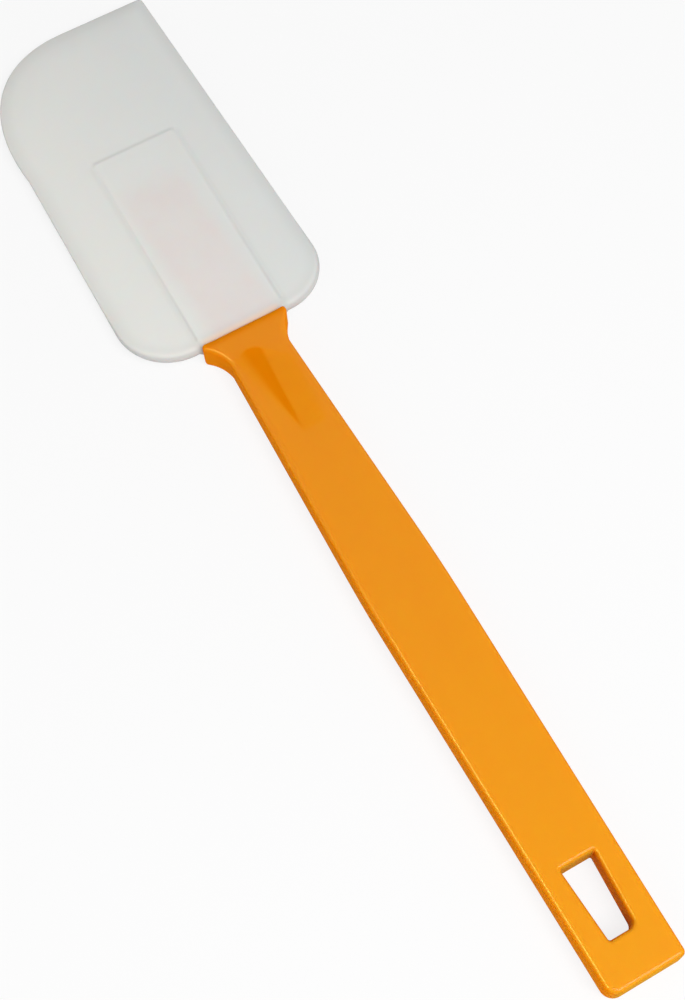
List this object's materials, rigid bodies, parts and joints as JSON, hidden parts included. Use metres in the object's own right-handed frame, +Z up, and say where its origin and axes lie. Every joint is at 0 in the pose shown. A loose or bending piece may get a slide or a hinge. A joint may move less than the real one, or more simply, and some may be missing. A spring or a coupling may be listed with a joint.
{
  "type": "spatula",
  "caption": "Kitchen spatula with a flat moulded handle, a trapezoid hang hole and a soft white scraper blade that pushes onto the handle's tongue.",
  "frame": {"origin": "on the handle's underside, on its centre line, halfway along the overall length", "axes": "+X along the length towards the blade's tip, +Y towards the side of the blade's round tip corner, +Z up from the underside"},
  "size_m": [0.2488, 0.0476, 0.0069],
  "materials": {
    "handle": "glossy injection-moulded orange",
    "blade": "satin, faintly translucent white moulded rubber"
  },
  "bodies": {
    "handle": {"handle": "handle"},
    "blade": {"blade": "blade"}
  },
  "joints": [
    {"name": "blade_pull_off", "type": "slide", "parent": "handle", "child": "blade", "axis": [1, 0, 0], "range_m": [0, 0.047]}
  ]
}
